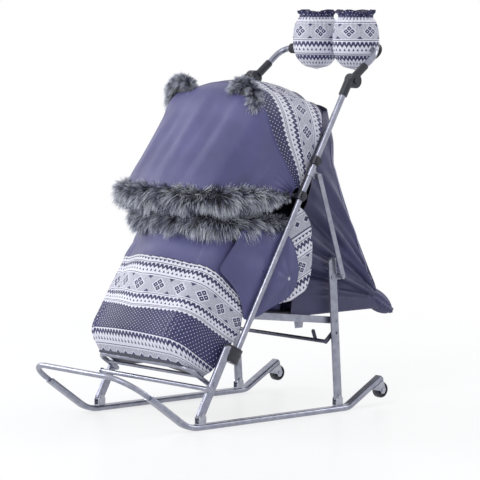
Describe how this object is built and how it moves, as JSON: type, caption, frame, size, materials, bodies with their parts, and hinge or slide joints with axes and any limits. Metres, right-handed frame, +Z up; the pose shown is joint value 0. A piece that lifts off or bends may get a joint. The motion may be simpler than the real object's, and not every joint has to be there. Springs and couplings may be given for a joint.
{
  "type": "sled stroller",
  "caption": "Sled stroller on two runners with a folding tube frame, reclining seat, foot muff, fur-edged hood and a tilting handle bar with mittens.",
  "frame": {"origin": "on the ground under the middle of the whole stroller", "axes": "+Z up, -Y towards the front hoop, +X to the seated child's left"},
  "size_m": [0.44, 0.9079, 1.0293],
  "materials": {
    "frame": "silver powder coat",
    "steel": "zinc plated",
    "dark_metal": "dark grey coat",
    "black_plastic": "moulded, satin",
    "foam": "soft foam",
    "board": "plain",
    "plain_cloth": "slate blue woven shell cloth",
    "knit_cloth": "navy and white knit pattern",
    "fur": "long grey and black pile"
  },
  "bodies": {
    "sled": {"runner_left": "frame", "runner_right": "frame", "front_hoop": "frame", "front_bracket_left": "steel", "front_bracket_right": "steel", "rear_bracket_left": "steel", "rear_bracket_right": "steel", "wheel_bracket_left": "steel", "wheel_bracket_right": "steel"},
    "wheel_left": {"wheel_left": "black_plastic"},
    "wheel_right": {"wheel_right": "black_plastic"},
    "front_legs": {"front_leg_left": "frame", "front_leg_right": "frame", "hinge_bracket_left": "steel", "hinge_bracket_right": "steel", "front_crossbar": "frame"},
    "footrest": {"footrest_frame": "frame"},
    "rear_legs": {"rear_leg_left": "frame", "rear_leg_right": "frame"},
    "lock_bar": {"lock_bar": "dark_metal"},
    "seat": {"seat_rail_left": "frame", "seat_rail_right": "frame", "side_flap_left": "plain_cloth", "side_flap_right": "plain_cloth", "seat_rear_tube": "frame", "seat_front_tube": "frame", "seat_board": "board", "seat_pad": "plain_cloth", "foot_muff": "knit_cloth", "muff_fur": "fur"},
    "backrest": {"backrest_board": "board", "backrest_pad": "plain_cloth"},
    "handle": {"handle_tube_left": "frame", "handle_tube_right": "frame", "lower_collar_left": "black_plastic", "lower_collar_right": "black_plastic", "upper_collar_left": "black_plastic", "upper_collar_right": "black_plastic", "brace_clamp_left": "steel", "brace_clamp_right": "steel", "knuckle_base_left": "black_plastic", "knuckle_base_right": "black_plastic", "hood_rear": "knit_cloth", "rear_tent": "plain_cloth"},
    "hood_bow": {"hood_bow": "dark_metal", "hood_front": "plain_cloth", "hood_fur": "fur", "ear_left": "fur", "ear_right": "fur"},
    "handle_bar": {"knuckle_head_left": "black_plastic", "knuckle_head_right": "black_plastic", "grip_left": "foam", "grip_right": "foam", "mitten_left": "knit_cloth", "mitten_right": "knit_cloth", "handle_bar": "frame"},
    "knuckle_button_left": {"knuckle_button_left": "black_plastic"},
    "knuckle_button_right": {"knuckle_button_right": "black_plastic"},
    "brace_links": {"brace_link_left": "frame", "brace_link_right": "frame"}
  },
  "joints": [
    {"name": "fold", "type": "hinge", "parent": "sled", "child": "rear_legs", "pos_m": [0, 0.24896, 0.036], "axis": [1, 0, 0], "range_deg": [0, 78], "deforming": ["foot_muff", "muff_fur", "rear_tent"]},
    {"name": "front_legs", "type": "hinge", "parent": "sled", "child": "front_legs", "pos_m": [0, -0.21604, 0.036], "axis": [1, 0, 0], "range_deg": [0, 82.41]},
    {"name": "handle_fold", "type": "hinge", "parent": "front_legs", "child": "handle", "pos_m": [0, -0.10503, 0.16504], "axis": [1, 0, 0], "range_deg": [-135.51, 0]},
    {"name": "seat_swing", "type": "hinge", "parent": "rear_legs", "child": "seat", "pos_m": [0, 0.23675, 0.23563], "axis": [1, 0, 0], "range_deg": [-94.58, 0]},
    {"name": "brace_swing", "type": "hinge", "parent": "rear_legs", "child": "brace_links", "pos_m": [0, 0.24976, 0.35063], "axis": [1, 0, 0], "range_deg": [-161.53, 0]},
    {"name": "footrest_fold", "type": "hinge", "parent": "front_legs", "child": "footrest", "pos_m": [0, -0.1757, 0.10968], "axis": [1, 0, 0], "range_deg": [-48.41, 0]},
    {"name": "fold_lock", "type": "hinge", "parent": "rear_legs", "child": "lock_bar", "pos_m": [0, 0.23871, 0.20369], "axis": [-1, 0, 0], "range_deg": [0, 24]},
    {"name": "backrest_recline", "type": "hinge", "parent": "seat", "child": "backrest", "pos_m": [0, 0.12185, 0.25929], "axis": [1, 0, 0], "range_deg": [0, 60]},
    {"name": "hood_fold", "type": "hinge", "parent": "handle", "child": "hood_bow", "pos_m": [0, 0.11882, 0.56232], "axis": [-1, 0, 0], "range_deg": [0, 72], "deforming": ["hood_front", "hood_fur", "ear_left", "ear_right"]},
    {"name": "handle_tilt", "type": "hinge", "parent": "handle", "child": "handle_bar", "pos_m": [0, 0.29967, 0.85068], "axis": [1, 0, 0], "range_deg": [-75, 45]},
    {"name": "wheel_spin_left", "type": "hinge", "parent": "sled", "child": "wheel_left", "pos_m": [0.205, 0.39296, 0.042], "axis": [1, 0, 0], "continuous": true},
    {"name": "wheel_spin_right", "type": "hinge", "parent": "sled", "child": "wheel_right", "pos_m": [-0.205, 0.39296, 0.042], "axis": [1, 0, 0], "continuous": true},
    {"name": "knuckle_button_left", "type": "slide", "parent": "handle", "child": "knuckle_button_left", "axis": [-1, 0, 0], "range_m": [0, 0.0025], "stiffness_N_per_m": 300},
    {"name": "knuckle_button_right", "type": "slide", "parent": "handle", "child": "knuckle_button_right", "axis": [1, 0, 0], "range_m": [0, 0.0025], "stiffness_N_per_m": 300}
  ],
  "couplings": [
    {"joint": "front_legs", "follows": "fold", "ratio": 1.0564},
    {"joint": "handle_fold", "follows": "fold", "ratio": -1.7371},
    {"joint": "seat_swing", "follows": "fold", "ratio": -1.2124},
    {"joint": "brace_swing", "follows": "fold", "ratio": -2.0707},
    {"joint": "footrest_fold", "follows": "fold", "ratio": -0.62048}
  ]
}
